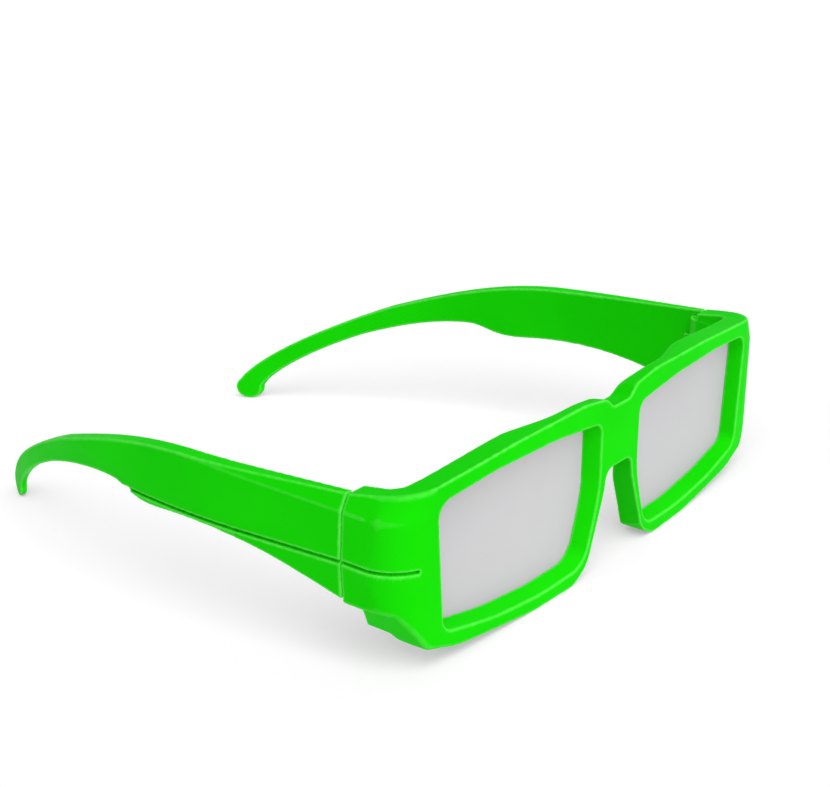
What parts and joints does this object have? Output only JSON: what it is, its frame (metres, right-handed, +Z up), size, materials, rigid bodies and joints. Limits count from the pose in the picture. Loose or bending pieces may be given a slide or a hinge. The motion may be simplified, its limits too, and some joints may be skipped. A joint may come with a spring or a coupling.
{
  "type": "eclipse glasses",
  "caption": "Wraparound plastic eclipse glasses: a stiff front with recessed solar filter lenses and hinged temples that curve inward and hook down behind the ears.",
  "frame": {"origin": "middle of the bounding box's underside: on the floor, in the plane of symmetry, midway between the brow and the temple tips", "axes": "front of the glasses faces -Y and the temples run back along +Y; +Z is up; X is side to side, with the wearer's left at +X"},
  "size_m": [0.1496, 0.1618, 0.0424],
  "materials": {
    "frame_plastic": "moulded, satin gloss, bright green",
    "lens_sheet": "opaque solar filter sheet, pale silver grey",
    "hinge_steel": "plain steel wire"
  },
  "bodies": {
    "front": {"front_frame": "frame_plastic", "lens_right": "lens_sheet", "lens_left": "lens_sheet", "lens_ring_right": "frame_plastic", "lens_ring_left": "frame_plastic", "hinge_pin_right": "hinge_steel", "hinge_pin_left": "hinge_steel"},
    "temple_right": {"temple_right": "frame_plastic"},
    "temple_left": {"temple_left": "frame_plastic"}
  },
  "joints": [
    {"name": "temple_left_fold", "type": "hinge", "parent": "front", "child": "temple_left", "pos_m": [0.0696, -0.06091, 0.0269], "axis": [0, -0.0764, 0.9971], "range_deg": [0, 80]},
    {"name": "temple_right_fold", "type": "hinge", "parent": "front", "child": "temple_right", "pos_m": [-0.0696, -0.06091, 0.0269], "axis": [0, 0.0764, -0.9971], "range_deg": [0, 72]}
  ]
}
